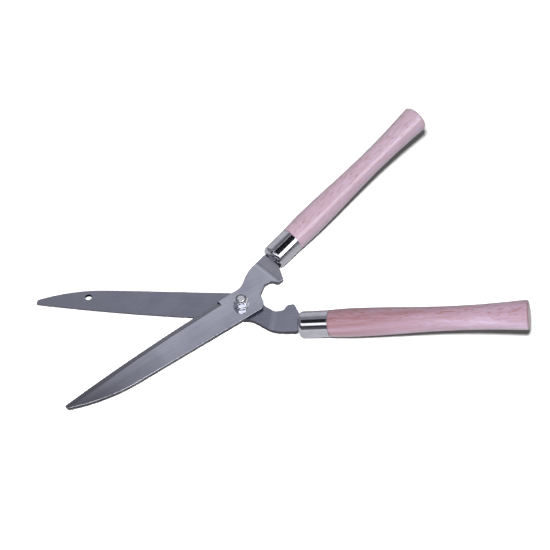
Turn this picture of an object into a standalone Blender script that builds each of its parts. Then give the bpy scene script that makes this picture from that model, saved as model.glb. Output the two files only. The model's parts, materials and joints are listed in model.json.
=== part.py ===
"""Hedge shears: two stamped steel halves on one pivot bolt, each with a chromed ferrule and a turned handle.

The origin lies on the pivot axis at the flat underside of the bolt head. +X runs along the line between the
two handles, +Y towards the upper half's handle, and +Z up the pivot axis to the nut. Each half is drawn as it
lies when the shears are shut, with its closing line on the X axis, and is then turned open about the pivot.
"""

import math

import bmesh
import bpy
from mathutils import Matrix, Vector

MM = 0.001

# Fits
TOUCH_GAP = 0.3 * MM
CUTTER_EXCESS = 4.0 * MM

# Blade
PLATE = 3.2 * MM
BLADE_REACH = 205.0 * MM
TIP_WIDTH = 5.6 * MM
TIP_CROSSING = 0.5 * MM
TIP_ROUNDING = 1.4 * MM
EDGE_OFFSET = 18.2 * MM
EDGE_BOW = 2.2 * MM
BEVEL_WIDTH = 6.4 * MM
EDGE_LAND = 0.4 * MM
BEVEL_OVERRUN = 1.0 * MM
HEEL_SETBACK = 17.5 * MM
SPINE_OFFSET = 17.0 * MM
SPINE_TILT = math.radians(0.8)
SPINE_SWEEP_START = 135.0 * MM
HANG_HOLE_DIAMETER = 7.0 * MM
HANG_HOLE_REACH = 154.0 * MM
HANG_HOLE_DROP = 9.8 * MM

# Arm, stop tooth and tang
CROWN_HEIGHT = 17.8 * MM
CROWN_END = 12.0 * MM
CROWN_ROUNDING = 14.0 * MM
FLANK_ANGLE = math.radians(34.5)
FLANK_ROUNDING = 42.0 * MM
SHOULDER_OUTER = 9.4 * MM
SHOULDER_INNER = 10.4 * MM
SHOULDER_ROUNDING = 1.5 * MM
TOOTH_PLACE = 49.7 * MM
TOOTH_WIDTH = 6.9 * MM
TOOTH_ROUNDING = 2.2 * MM
NOTCH_DEPTH = 6.4 * MM
NOTCH_WIDTH = 8.0 * MM
TOOTH_FLANK = 4.0 * MM
NOTCH_RUNOUT = 9.5 * MM
NOTCH_ROUNDING = 5.0 * MM
HEEL_RADIUS = 22.5 * MM
HEEL_ROUNDING = 5.0 * MM
TANG_WIDTH = 9.0 * MM
TANG_LENGTH = 68.0 * MM
TANG_POINT = 6.0 * MM

# Crank of the arms: the handles rise from the blades towards the nut side
HANDLE_RISE = math.radians(14.4)
CRANK_PLACE = 41.0 * MM
CRANK_RADIUS = 22.0 * MM

# Handles
OPEN_HALF_ANGLE = math.radians(18.85)
HANDLE_SPLAY = math.radians(7.9)
HANDLE_OFFSET = 19.1 * MM
CAP_PLACE = 62.0 * MM
FERRULE_DIAMETER = 26.6 * MM
FERRULE_LENGTH = 30.5 * MM
FERRULE_WALL = 0.8 * MM
FERRULE_EDGE = 5.0 * MM
HANDLE_LENGTH = 193.0 * MM
NECK_DIAMETER = 27.0 * MM
NECK_EDGE = 0.8 * MM
BELLY_DIAMETER = 28.0 * MM
BELLY_PLACE = 22.0 * MM
WAIST_DIAMETER = 23.4 * MM
WAIST_PLACE = 122.0 * MM
BUTT_DIAMETER = 28.6 * MM
BUTT_EDGE = 2.6 * MM

# Pivot
BOLT_DIAMETER = 8.0 * MM
BOLT_CHAMFER = 0.7 * MM
BOLT_PROUD = 0.4 * MM
NECK_PROUD = 0.3 * MM
HEAD_DIAMETER = 20.0 * MM
HEAD_HEIGHT = 4.2 * MM
HEAD_EDGE = 2.0 * MM
WASHER_DIAMETER = 16.0 * MM
WASHER_THICKNESS = 0.8 * MM
NUT_HEIGHT = 7.0 * MM
NUT_CHAMFER = 0.7 * MM
NUT_TURN = math.radians(-17.0)
COLLAR_HEIGHT = 1.7 * MM
COLLAR_WALL = 0.4 * MM
COLLAR_SETBACK = 0.3 * MM
INSERT_RING = 1.2 * MM
INSERT_RECESS = 0.2 * MM

# Fineness of round shapes
ARC_STEP = math.radians(9.0)
SHARP_ANGLE = math.radians(30.0)
FILLET_SHARE = 0.45
WELD_DISTANCE = 0.001 * MM
SWEEP_STEPS = 10
BOW_STEPS = 8
CRANK_STEPS = 4
TURN_STEPS = 32
CONTOUR_STEPS = 7
FULL_TURN = 2.0 * math.pi

# Heights up the pivot axis
LOWER_LEVEL = HEAD_HEIGHT + TOUCH_GAP
UPPER_LEVEL = LOWER_LEVEL + PLATE + TOUCH_GAP
PARTING_LEVEL = UPPER_LEVEL - TOUCH_GAP / 2
WASHER_LEVEL = UPPER_LEVEL + PLATE + TOUCH_GAP
NUT_LEVEL = WASHER_LEVEL + WASHER_THICKNESS + TOUCH_GAP
BOLT_END = NUT_LEVEL + NUT_HEIGHT + BOLT_PROUD

# Sizes outward from the bolt
BORE_RADIUS = BOLT_DIAMETER / 2 + TOUCH_GAP
NECK_SQUARE = BOLT_DIAMETER + 2 * NECK_PROUD
INSERT_RADIUS = BORE_RADIUS + INSERT_RING
POCKET_RADIUS = INSERT_RADIUS + TOUCH_GAP
COLLAR_RADIUS = POCKET_RADIUS + COLLAR_WALL
NUT_FLATS = 2 * (COLLAR_RADIUS + COLLAR_SETBACK)

# Directions in the plane of a shut half: along its handle, and square to it
ALONG = Vector((math.cos(HANDLE_SPLAY), math.sin(HANDLE_SPLAY)))
ACROSS = Vector((-math.sin(HANDLE_SPLAY), math.cos(HANDLE_SPLAY)))
RISE_SLOPE = math.tan(HANDLE_RISE)


def clear_scene():
    """Removes every object of the open file."""
    for item in list(bpy.data.objects):
        bpy.data.objects.remove(item, do_unlink=True)


def finish(name, colour, roughness, metallic):
    """Makes a plain Principled material."""
    made = bpy.data.materials.new(name)
    made.use_nodes = True
    shader = made.node_tree.nodes["Principled BSDF"]
    shader.inputs["Base Color"].default_value = (*colour, 1.0)
    shader.inputs["Roughness"].default_value = roughness
    shader.inputs["Metallic"].default_value = metallic
    return made


def pivot_empty(name, angle):
    """Makes the empty on the pivot axis that carries one half of the shears."""
    holder = bpy.data.objects.new(name, None)
    bpy.context.collection.objects.link(holder)
    holder.rotation_euler.z = angle
    return holder


def piece(name, shape, material, parent=None):
    """Turns a bmesh into a named object of one material, shaded smooth up to its sharp edges."""
    bmesh.ops.recalc_face_normals(shape, faces=shape.faces)
    mesh = bpy.data.meshes.new(name)
    shape.to_mesh(mesh)
    shape.free()
    mesh.shade_smooth()
    mesh.set_sharp_from_angle(angle=SHARP_ANGLE)
    if material:
        mesh.materials.append(material)
    made = bpy.data.objects.new(name, mesh)
    bpy.context.collection.objects.link(made)
    made.parent = parent
    return made


def cut(target, name, shape, operation="DIFFERENCE"):
    """Adds a Boolean modifier with a hidden tool made from a bmesh in the target's own space."""
    tool = piece(name, shape, None, target.parent)
    tool.location = target.location
    tool.rotation_euler = target.rotation_euler
    tool.hide_render = True
    tool.display_type = "WIRE"
    step = target.modifiers.new(name, "BOOLEAN")
    step.operation = operation
    step.object = tool
    step.solver = "EXACT"


def rounded(corners):
    """Walks round corners of (point, radius) and returns the outline with each corner turned into an arc."""
    outline = []
    for index, (point, radius) in enumerate(corners):
        before = corners[index - 1][0] - point
        after = corners[(index + 1) % len(corners)][0] - point
        half_angle = before.angle(after) / 2
        if radius == 0.0:
            outline.append(point)
            continue
        shorter_side = min(before.length, after.length)
        reach = min(radius / math.tan(half_angle), FILLET_SHARE * shorter_side)
        radius = reach * math.tan(half_angle)
        bisector = (before.normalized() + after.normalized()).normalized()
        centre = point + bisector * (radius / math.sin(half_angle))
        first = point + before.normalized() * reach - centre
        sweep = first.angle_signed(point + after.normalized() * reach - centre)
        steps = max(2, math.ceil(abs(sweep) / ARC_STEP))
        for step in range(steps + 1):
            angle = -sweep * step / steps
            outline.append(centre + Vector((first.x * math.cos(angle) - first.y * math.sin(angle),
                                            first.x * math.sin(angle) + first.y * math.cos(angle))))
    return outline


def handle_point(along, across):
    """A plan point measured along the handle's line from the pivot, and square to it."""
    return ALONG * along + ACROSS * across


def edge_line():
    """The tip end of the cutting edge, the direction from there to the heel, and the distance."""
    tip = Vector((-BLADE_REACH, TIP_CROSSING))
    slope = math.asin(EDGE_OFFSET / tip.length) - math.atan2(TIP_CROSSING, BLADE_REACH)
    heelward = Vector((math.cos(slope), math.sin(slope)))
    return tip, heelward, (-HEEL_SETBACK - tip.x) / heelward.x


def edge_point(distance, depth):
    """A plan point at a distance along the bowed cutting edge from its tip, and at a depth in from it."""
    tip, heelward, run = edge_line()
    inward = Vector((heelward.y, -heelward.x))
    bow = 4 * EDGE_BOW * (distance / run) * (1 - distance / run)
    return tip + heelward * distance + inward * (depth - bow)


def spine_height(x):
    """Height of the straight part of the blade's back at a distance along the closing line."""
    return -SPINE_OFFSET / math.cos(SPINE_TILT) + x * math.tan(SPINE_TILT)


def spine_sweep():
    """The arc from the straight back to the tip, tangent to the back."""
    start = Vector((-SPINE_SWEEP_START, spine_height(-SPINE_SWEEP_START)))
    end = edge_point(0.0, TIP_WIDTH)
    tangent = Vector((-math.cos(SPINE_TILT), -math.sin(SPINE_TILT)))
    inward = Vector((tangent.y, -tangent.x))
    chord = end - start
    radius = chord.length_squared / (2 * chord.dot(inward))
    turn = 2 * math.atan2(chord.dot(inward), chord.dot(tangent))
    points = []
    for step in range(SWEEP_STEPS):
        angle = turn * step / SWEEP_STEPS
        forward = tangent * (radius * math.sin(angle))
        points.append(start + forward + inward * (radius * (1 - math.cos(angle))))
    return points, end


def shoulder_line():
    """Distance along the handle's line at which the arm stops short of the ferrule."""
    return CAP_PLACE - (TOUCH_GAP + PLATE / 2 * math.sin(HANDLE_RISE)) / math.cos(HANDLE_RISE)


def half_outline():
    """The flat outline of the upper half when shut, anticlockwise from the tip of the cutting edge."""
    run = edge_line()[2]
    edge = [edge_point(run * step / BOW_STEPS, 0.0) for step in range(BOW_STEPS + 1)]
    sweep, tip_back = spine_sweep()
    crown = Vector((CROWN_END, CROWN_HEIGHT))
    flank = Vector((math.cos(FLANK_ANGLE), math.sin(FLANK_ANGLE)))
    flank_length = (HANDLE_OFFSET + SHOULDER_OUTER - crown.dot(ACROSS)) / flank.dot(ACROSS)
    shoulder = shoulder_line()
    tang_side = TANG_WIDTH / 2
    tang_end = CAP_PLACE + TANG_LENGTH
    stop_face = TOUCH_GAP / 2
    tooth_front = TOOTH_PLACE + TOOTH_WIDTH / 2
    tooth_back = TOOTH_PLACE - TOOTH_WIDTH / 2
    notch_front = tooth_back - TOOTH_FLANK
    notch_back = notch_front - NOTCH_WIDTH
    heel_top = Vector((notch_back - NOTCH_RUNOUT, 0.0))
    heel_end = math.asin(SPINE_OFFSET / HEEL_RADIUS) - SPINE_TILT
    heel_arc = []
    for step in range(1, CONTOUR_STEPS + 1):
        angle = heel_end * step / CONTOUR_STEPS
        heel_arc.append(Vector((math.cos(angle), -math.sin(angle))) * HEEL_RADIUS)
    heel_corner = heel_arc.pop()
    corners = [
        (edge[0], TIP_ROUNDING),
        (tip_back, TIP_ROUNDING),
        *[(point, 0.0) for point in reversed(sweep)],
        (heel_corner, HEEL_ROUNDING),
        *[(point, 0.0) for point in reversed(heel_arc)],
        (heel_top, NOTCH_ROUNDING),
        (Vector((notch_back, NOTCH_DEPTH)), NOTCH_ROUNDING),
        (Vector((notch_front, NOTCH_DEPTH)), NOTCH_ROUNDING),
        (Vector((tooth_back, stop_face)), TOOTH_ROUNDING),
        (Vector((tooth_front, stop_face)), TOOTH_ROUNDING),
        (handle_point(shoulder, HANDLE_OFFSET - SHOULDER_INNER), SHOULDER_ROUNDING),
        (handle_point(shoulder, HANDLE_OFFSET - tang_side), 0.0),
        (handle_point(tang_end - TANG_POINT, HANDLE_OFFSET - tang_side), 0.0),
        (handle_point(tang_end, HANDLE_OFFSET - tang_side / 2), 0.0),
        (handle_point(tang_end, HANDLE_OFFSET + tang_side / 2), 0.0),
        (handle_point(tang_end - TANG_POINT, HANDLE_OFFSET + tang_side), 0.0),
        (handle_point(shoulder, HANDLE_OFFSET + tang_side), 0.0),
        (handle_point(shoulder, HANDLE_OFFSET + SHOULDER_OUTER), SHOULDER_ROUNDING),
        (crown + flank * flank_length, FLANK_ROUNDING),
        (crown, CROWN_ROUNDING),
        *[(point, 0.0) for point in reversed(edge[1:])],
    ]
    return rounded(corners)


def crank_rise(along, crease):
    """Height gained by the arm along the handle's line: round a bend, then up a straight slope."""
    bend = CRANK_RADIUS * math.tan(HANDLE_RISE / 2)
    if along <= crease - bend:
        return 0.0
    if along >= crease + bend * math.cos(HANDLE_RISE):
        return (along - crease) * RISE_SLOPE
    return CRANK_RADIUS - math.sqrt(CRANK_RADIUS ** 2 - (along - crease + bend) ** 2)


def stamped_half(level, side):
    """The plate of one half: its outline, thickened, with the arm bent up to the slope both tangs share."""
    shape = bmesh.new()
    corners = [shape.verts.new((point.x, side * point.y, 0.0)) for point in half_outline()]
    shape.faces.new(corners)
    along = Vector((ALONG.x, side * ALONG.y, 0.0))
    crease = CRANK_PLACE + (level + PLATE / 2 - PARTING_LEVEL) / RISE_SLOPE
    bend = CRANK_RADIUS * math.tan(HANDLE_RISE / 2)
    for step in range(CRANK_STEPS + 1):
        place = crease - bend + bend * (1 + math.cos(HANDLE_RISE)) * step / CRANK_STEPS
        everything = list(shape.verts) + list(shape.edges) + list(shape.faces)
        bmesh.ops.bisect_plane(shape, geom=everything, plane_co=along * place, plane_no=along)
    top = bmesh.ops.extrude_face_region(shape, geom=list(shape.faces))["geom"]
    for vertex in top:
        if isinstance(vertex, bmesh.types.BMVert):
            vertex.co.z += PLATE
    for vertex in shape.verts:
        vertex.co.z += level + crank_rise(vertex.co.dot(along), crease)
    return shape


def bevel_wedge(level, side, on_top):
    """The wedge ground off along the cutting edge, from just past the heel to past the tip."""
    run = edge_line()[2]
    slope = (PLATE - EDGE_LAND) / BEVEL_WIDTH
    outside = -CUTTER_EXCESS
    inside = BEVEL_WIDTH + CUTTER_EXCESS
    above = EDGE_LAND + slope * inside
    section = ((outside, EDGE_LAND + slope * outside), (inside, above), (outside, above))
    between = [run * (step + 0.5) / BOW_STEPS for step in range(BOW_STEPS)]
    shape = bmesh.new()
    rings = []
    for distance in (-CUTTER_EXCESS, *between, run + BEVEL_OVERRUN):
        ring = []
        for depth, height in section:
            place = edge_point(distance, depth)
            rise = level + (height if on_top else PLATE - height)
            ring.append(shape.verts.new((place.x, side * place.y, rise)))
        rings.append(ring)
    shape.faces.new(rings[0])
    shape.faces.new(rings[-1])
    for ring, next_ring in zip(rings, rings[1:]):
        for index in range(len(section)):
            follower = (index + 1) % len(section)
            shape.faces.new((ring[index], ring[follower], next_ring[follower], next_ring[index]))
    return shape


def drill(radius, x, y, bottom, top):
    """A round cutter standing on a plan point."""
    shape = bmesh.new()
    bmesh.ops.create_cone(shape, cap_ends=True, segments=TURN_STEPS, radius1=radius, radius2=radius,
                          depth=top - bottom)
    bmesh.ops.translate(shape, verts=shape.verts, vec=(x, y, (top + bottom) / 2))
    return shape


def block(size_x, size_y, size_z, centre):
    """A box with its middle at a point."""
    shape = bmesh.new()
    bmesh.ops.create_cube(shape, size=1.0)
    bmesh.ops.scale(shape, verts=shape.verts, vec=(size_x, size_y, size_z))
    bmesh.ops.translate(shape, verts=shape.verts, vec=centre)
    return shape


def turned(profile, closed=False):
    """A shape turned about the Z axis from points of (radius, height), or a ring if the profile is closed."""
    shape = bmesh.new()
    line = [shape.verts.new((radius, 0.0, height)) for radius, height in profile]
    edges = [shape.edges.new(pair) for pair in zip(line, line[1:])]
    if closed:
        edges.append(shape.edges.new((line[-1], line[0])))
    bmesh.ops.spin(shape, geom=line + edges, axis=(0.0, 0.0, 1.0), cent=(0.0, 0.0, 0.0), steps=TURN_STEPS,
                   angle=FULL_TURN, use_merge=True)
    bmesh.ops.remove_doubles(shape, verts=shape.verts, dist=WELD_DISTANCE)
    return shape


def quarter(radius, height, edge, start, end):
    """Points of a rounded edge about a centre of (radius, height), from one angle to another."""
    steps = CONTOUR_STEPS // 2 + 1
    points = []
    for step in range(steps + 1):
        angle = math.radians(start + (end - start) * step / steps)
        points.append((radius + edge * math.cos(angle), height + edge * math.sin(angle)))
    return points


def blade(name, level, side, on_top, material, parent):
    """One stamped half with its ground cutting edge and its pivot hole."""
    made = piece(name, stamped_half(level, side), material, parent)
    cut(made, name + "_bevel_cutter", bevel_wedge(level, side, on_top))
    return made


def ferrule(name, material, parent, place, turn):
    """A deep-drawn cup, open to the handle, with a slot in its rounded front for the tang."""
    outer = FERRULE_DIAMETER / 2
    inner = outer - FERRULE_WALL
    inner_edge = FERRULE_EDGE - FERRULE_WALL
    profile = [(inner, FERRULE_LENGTH), (outer, FERRULE_LENGTH)]
    profile += quarter(outer - FERRULE_EDGE, FERRULE_EDGE, FERRULE_EDGE, 0.0, -90.0)
    profile += [(0.0, 0.0), (0.0, FERRULE_WALL)]
    profile += quarter(outer - FERRULE_EDGE, FERRULE_EDGE, inner_edge, -90.0, 0.0)
    profile.append(profile[0])
    made = piece(name, turned(profile), material, parent)
    made.location = place
    made.rotation_euler = turn
    slot_depth = 2 * (FERRULE_WALL + CUTTER_EXCESS)
    slot = block(PLATE + 2 * TOUCH_GAP, TANG_WIDTH + 2 * TOUCH_GAP, slot_depth, (0.0, 0.0, 0.0))
    cut(made, name + "_slot_cutter", slot)


def handle_radius(place):
    """Radius of the wood at a distance from the ferrule: a belly, a waist, then a flare to the butt."""
    if place <= BELLY_PLACE:
        rise = 0.5 - 0.5 * math.cos(math.pi * place / BELLY_PLACE)
        return (NECK_DIAMETER + (BELLY_DIAMETER - NECK_DIAMETER) * rise) / 2
    if place <= WAIST_PLACE:
        fall = 0.5 - 0.5 * math.cos(math.pi * (place - BELLY_PLACE) / (WAIST_PLACE - BELLY_PLACE))
        return (BELLY_DIAMETER + (WAIST_DIAMETER - BELLY_DIAMETER) * fall) / 2
    flare = 1.0 - math.cos(math.pi / 2 * (place - WAIST_PLACE) / (HANDLE_LENGTH - BUTT_EDGE - WAIST_PLACE))
    return (WAIST_DIAMETER + (BUTT_DIAMETER - WAIST_DIAMETER) * flare) / 2


def handle(name, material, parent, place, turn):
    """Turned wood: a spigot inside the ferrule, a bore for the tang and a shaped grip."""
    spigot = FERRULE_DIAMETER / 2 - FERRULE_WALL - TOUCH_GAP
    spigot_edge = FERRULE_EDGE - FERRULE_WALL - TOUCH_GAP
    spigot_front = FERRULE_WALL + TOUCH_GAP
    neck = FERRULE_LENGTH + TOUCH_GAP
    butt = neck + HANDLE_LENGTH
    bore = math.hypot(TANG_WIDTH, PLATE) / 2 + TOUCH_GAP
    bore_end = TANG_LENGTH / math.cos(HANDLE_RISE) + PLATE * math.tan(HANDLE_RISE) + TOUCH_GAP
    profile = [(0.0, butt)]
    profile += quarter(BUTT_DIAMETER / 2 - BUTT_EDGE, butt - BUTT_EDGE, BUTT_EDGE, 90.0, 0.0)
    places = (HANDLE_LENGTH - BUTT_EDGE, WAIST_PLACE, BELLY_PLACE, NECK_EDGE)
    for start, end in zip(places, places[1:]):
        for step in range(1, CONTOUR_STEPS):
            along = start + (end - start) * step / (CONTOUR_STEPS - 1)
            profile.append((handle_radius(along), neck + along))
    profile += [(NECK_DIAMETER / 2 - NECK_EDGE, neck), (spigot, neck)]
    profile += quarter(spigot - spigot_edge, spigot_front + spigot_edge, spigot_edge, 0.0, -90.0)
    profile += [(bore, spigot_front), (bore, bore_end), (0.0, bore_end)]
    made = piece(name, turned(profile), material, parent)
    made.location = place
    made.rotation_euler = turn


def pivot_bolt(material, parent):
    """A flat round head, a square neck that keys into the lower blade, and a shank with a chamfered end."""
    radius = BOLT_DIAMETER / 2
    profile = [(0.0, BOLT_END), (radius - BOLT_CHAMFER, BOLT_END), (radius, BOLT_END - BOLT_CHAMFER),
               (radius, HEAD_HEIGHT), (HEAD_DIAMETER / 2, HEAD_HEIGHT)]
    profile += quarter(HEAD_DIAMETER / 2 - HEAD_EDGE, HEAD_EDGE, HEAD_EDGE, 0.0, -90.0)
    profile.append((0.0, 0.0))
    made = piece("pivot_bolt", turned(profile), material, parent)
    neck_height = PLATE + TOUCH_GAP
    sunk = HEAD_HEIGHT / 2
    neck = block(NECK_SQUARE, NECK_SQUARE, neck_height + sunk,
                 (0.0, 0.0, HEAD_HEIGHT + (neck_height - sunk) / 2))
    cut(made, "pivot_bolt_neck", neck, "UNION")


def pivot_washer(material, parent):
    """A flat ring under the nut."""
    outer = WASHER_DIAMETER / 2
    top = WASHER_LEVEL + WASHER_THICKNESS
    ring = [(BORE_RADIUS, top), (outer, top), (outer, WASHER_LEVEL), (BORE_RADIUS, WASHER_LEVEL)]
    piece("pivot_washer", turned(ring, closed=True), material, parent)


def pivot_nut(material, parent):
    """A low lock nut: six flats with turned chamfers, and a round collar with a pocket for the insert."""
    corner = NUT_FLATS / 2 / math.cos(math.pi / 6)
    base = NUT_LEVEL
    top = NUT_LEVEL + NUT_HEIGHT
    ledge = top - COLLAR_HEIGHT
    profile = [(POCKET_RADIUS, top), (COLLAR_RADIUS, top), (COLLAR_RADIUS, ledge),
               (corner + NUT_CHAMFER, ledge - NUT_CHAMFER), (corner + NUT_CHAMFER, base + NUT_CHAMFER),
               (COLLAR_RADIUS, base), (BORE_RADIUS, base), (BORE_RADIUS, ledge), (POCKET_RADIUS, ledge)]
    made = piece("pivot_nut", turned(profile, closed=True), material, parent)
    prism = bmesh.new()
    bmesh.ops.create_cone(prism, cap_ends=True, segments=6, radius1=corner, radius2=corner,
                          depth=NUT_HEIGHT + CUTTER_EXCESS)
    bmesh.ops.translate(prism, verts=prism.verts, vec=(0.0, 0.0, base + NUT_HEIGHT / 2))
    bmesh.ops.rotate(prism, verts=prism.verts, cent=(0.0, 0.0, 0.0), matrix=Matrix.Rotation(NUT_TURN, 3, "Z"))
    cut(made, "pivot_nut_flats", prism, "INTERSECT")


def nut_insert(material, parent):
    """The nylon ring in the nut's collar that grips the thread."""
    top = NUT_LEVEL + NUT_HEIGHT - INSERT_RECESS
    bottom = NUT_LEVEL + NUT_HEIGHT - COLLAR_HEIGHT + TOUCH_GAP
    ring = [(BORE_RADIUS, top), (INSERT_RADIUS, top), (INSERT_RADIUS, bottom), (BORE_RADIUS, bottom)]
    piece("nut_insert", turned(ring, closed=True), material, parent)


def build():
    """Models the shears at the opening at which they rest."""
    clear_scene()
    steel = finish("ground steel", (0.36, 0.36, 0.40), 0.3, 1.0)
    chrome = finish("chrome plate", (0.75, 0.75, 0.78), 0.08, 1.0)
    zinc = finish("zinc-plated steel", (0.62, 0.62, 0.66), 0.2, 1.0)
    beech = finish("lacquered beech", (0.62, 0.42, 0.46), 0.35, 0.0)
    nylon = finish("grey nylon", (0.25, 0.25, 0.28), 0.5, 0.0)
    through = (0.0, BOLT_END)
    cap = handle_point(CAP_PLACE, HANDLE_OFFSET)
    cap_level = PARTING_LEVEL + (CAP_PLACE - CRANK_PLACE) * RISE_SLOPE
    halves = (("upper", 1, UPPER_LEVEL, True), ("lower", -1, LOWER_LEVEL, False))
    for half, side, level, on_top in halves:
        holder = pivot_empty(half + "_half", side * OPEN_HALF_ANGLE)
        plate = blade(half + "_blade", level, side, on_top, steel, holder)
        place = (cap.x, side * cap.y, cap_level)
        turn = (0.0, math.pi / 2 - HANDLE_RISE, side * HANDLE_SPLAY)
        ferrule(half + "_ferrule", chrome, holder, place, turn)
        handle(half + "_handle", beech, holder, place, turn)
        if half == "upper":
            cut(plate, "pivot_hole_cutter", drill(BORE_RADIUS, 0.0, 0.0, *through))
            continue
        key = NECK_SQUARE + 2 * TOUCH_GAP
        cut(plate, "square_hole_cutter", block(key, key, 2 * BOLT_END, (0.0, 0.0, 0.0)))
        hang = drill(HANG_HOLE_DIAMETER / 2, -HANG_HOLE_REACH, HANG_HOLE_DROP, *through)
        cut(plate, "hang_hole_cutter", hang)
        pivot_bolt(zinc, holder)
        pivot_washer(zinc, holder)
        pivot_nut(zinc, holder)
        nut_insert(nylon, holder)


build()
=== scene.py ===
# %% [markdown]
# # A pair of hedge shears
#
# Two stamped steel halves cross on one bolt. Each half is a blade and an arm in one plate, its tang sits in
# a turned beech handle, and a chromed ferrule keeps the wood from splitting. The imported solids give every
# size and place, so this lesson only dresses them: finer meshes, real finishes, and a small studio round
# them.

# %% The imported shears
import json
import math

import bmesh
import bpy
from mathutils import Matrix, Vector


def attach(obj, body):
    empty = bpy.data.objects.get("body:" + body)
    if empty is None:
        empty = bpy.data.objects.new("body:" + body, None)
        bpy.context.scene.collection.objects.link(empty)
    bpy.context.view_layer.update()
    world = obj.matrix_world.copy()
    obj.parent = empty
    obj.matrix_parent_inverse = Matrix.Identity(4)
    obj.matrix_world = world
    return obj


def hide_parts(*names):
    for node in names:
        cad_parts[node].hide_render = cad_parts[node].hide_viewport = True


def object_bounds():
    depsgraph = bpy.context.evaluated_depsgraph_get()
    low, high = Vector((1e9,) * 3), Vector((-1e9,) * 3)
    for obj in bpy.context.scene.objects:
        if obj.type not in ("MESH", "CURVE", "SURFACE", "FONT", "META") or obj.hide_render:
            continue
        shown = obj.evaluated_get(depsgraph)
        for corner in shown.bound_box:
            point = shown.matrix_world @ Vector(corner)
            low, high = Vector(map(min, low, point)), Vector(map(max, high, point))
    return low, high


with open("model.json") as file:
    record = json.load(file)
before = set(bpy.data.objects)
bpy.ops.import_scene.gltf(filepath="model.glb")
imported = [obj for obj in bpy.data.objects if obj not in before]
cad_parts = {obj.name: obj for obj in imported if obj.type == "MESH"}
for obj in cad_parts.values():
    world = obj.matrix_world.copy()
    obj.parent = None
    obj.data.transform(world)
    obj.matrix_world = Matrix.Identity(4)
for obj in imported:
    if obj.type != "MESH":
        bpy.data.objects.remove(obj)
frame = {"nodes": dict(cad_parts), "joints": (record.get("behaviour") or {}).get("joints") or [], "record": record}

MM = 0.001
UP = Vector((0.0, 0.0, 1.0))
scene = bpy.context.scene
cad_low, cad_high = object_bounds()
print("box of the solids, mm:", [round(side / MM, 1) for side in cad_high - cad_low])

# %% [markdown]
# ## Small helpers
#
# A colour is easiest to read as the hex value that a screen shows, but the renderer counts light, so one
# function turns sRGB into linear light. Node trees are long to write by hand, so one function adds a node,
# sets it up, and fills each input either with a plain value or with a link from another node.

# %% Colours and nodes
def linear(hex_colour):
    """Linear RGBA of an sRGB colour written as #RRGGBB."""
    channels = []
    for start in (1, 3, 5):
        value = int(hex_colour[start:start + 2], 16) / 255
        channels.append(value / 12.92 if value <= 0.04045 else ((value + 0.055) / 1.055) ** 2.4)
    return (*channels, 1.0)


def add(tree, kind, inputs=None, **settings):
    """Adds a node to a tree. Inputs are named or numbered, and hold values or sockets of other nodes."""
    made = tree.nodes.new(kind)
    for name, value in settings.items():
        setattr(made, name, value)
    for name, value in (inputs or {}).items():
        if isinstance(value, bpy.types.NodeSocket):
            tree.links.new(value, made.inputs[name])
        else:
            made.inputs[name].default_value = value
    return made


def new_finish(name):
    """A material with its node tree, its Principled shader and the coordinates that its patterns read."""
    material = bpy.data.materials.new(name)
    material.use_nodes = True
    tree = material.node_tree
    where = add(tree, "ShaderNodeTexCoord").outputs["Object"]
    return material, tree, tree.nodes["Principled BSDF"], where


print("mid grey is", [round(c, 3) for c in linear("#808080")[:3]])

# %% [markdown]
# ## Where each half lies
#
# A turned piece is easiest to draw upright, as on a lathe, and to lay in place afterwards. The record has a
# flat mount on the end of each handle. Its axis is the handle's axis, so it gives the way the lathe points,
# and the front of the ferrule gives the lathe's zero. A blade's own direction is the line from its tip,
# which is its foremost point, to the pivot.

# %% Lathe frames and blade directions
SIDES = ("upper", "lower")
BODIES = {"upper": "upper_half", "lower": "lower_half"}
PIVOT = Vector(frame["joints"][0]["pos_m"])


def points_of(node):
    """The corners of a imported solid."""
    return [vertex.co.copy() for vertex in frame["nodes"][node].data.vertices]


def lathe_place(side):
    """Matrix that lays a piece turned about Z along one handle, with its zero at the front of the ferrule."""
    mount = next(m for m in frame["record"]["mounts"] if m["name"] == side + "_butt")
    end = Vector(mount["pos_m"])
    along = Vector(mount["axis"]).normalized()
    level = UP.cross(along).normalized()
    front = min((point - end).dot(along) for point in points_of(side + "_ferrule"))
    turn = Matrix((level.cross(along), level, along)).transposed().to_4x4()
    return Matrix.Translation(end + along * front) @ turn


def blade_turn(side):
    """Angle in the floor plane of the line from a blade's tip to the pivot."""
    tip = min(points_of(side + "_blade"), key=lambda point: point.x)
    return math.atan2(PIVOT.y - tip.y, PIVOT.x - tip.x)


PLACES = {side: lathe_place(side) for side in SIDES}
BLADE_TURNS = {side: blade_turn(side) for side in SIDES}
for side in SIDES:
    start = [round(c / MM, 1) for c in PLACES[side].translation]
    print(side, "handle starts at", start, "mm, blade turned", round(math.degrees(BLADE_TURNS[side]), 1))

# %% [markdown]
# ## The camera
#
# The picture was taken from above the blade side, and it is a real perspective: the handles come nearer as
# they rise. At the pivot one pixel of the 550 pixel picture covers one millimetre, so the focal length
# follows from the distance. The camera's three directions are written out, and its matrix is their columns.

# %% Camera
VIEW_ELEVATION = math.radians(49.087)
VIEW_TURN = math.radians(18.058)
VIEW_DISTANCE = 1384.60 * MM
VIEW_RIGHT = 33.945 * MM
VIEW_RAISED = 31.114 * MM
PICTURE_SIDE = 550.0 * MM
SENSOR_WIDTH = 36.0

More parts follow.
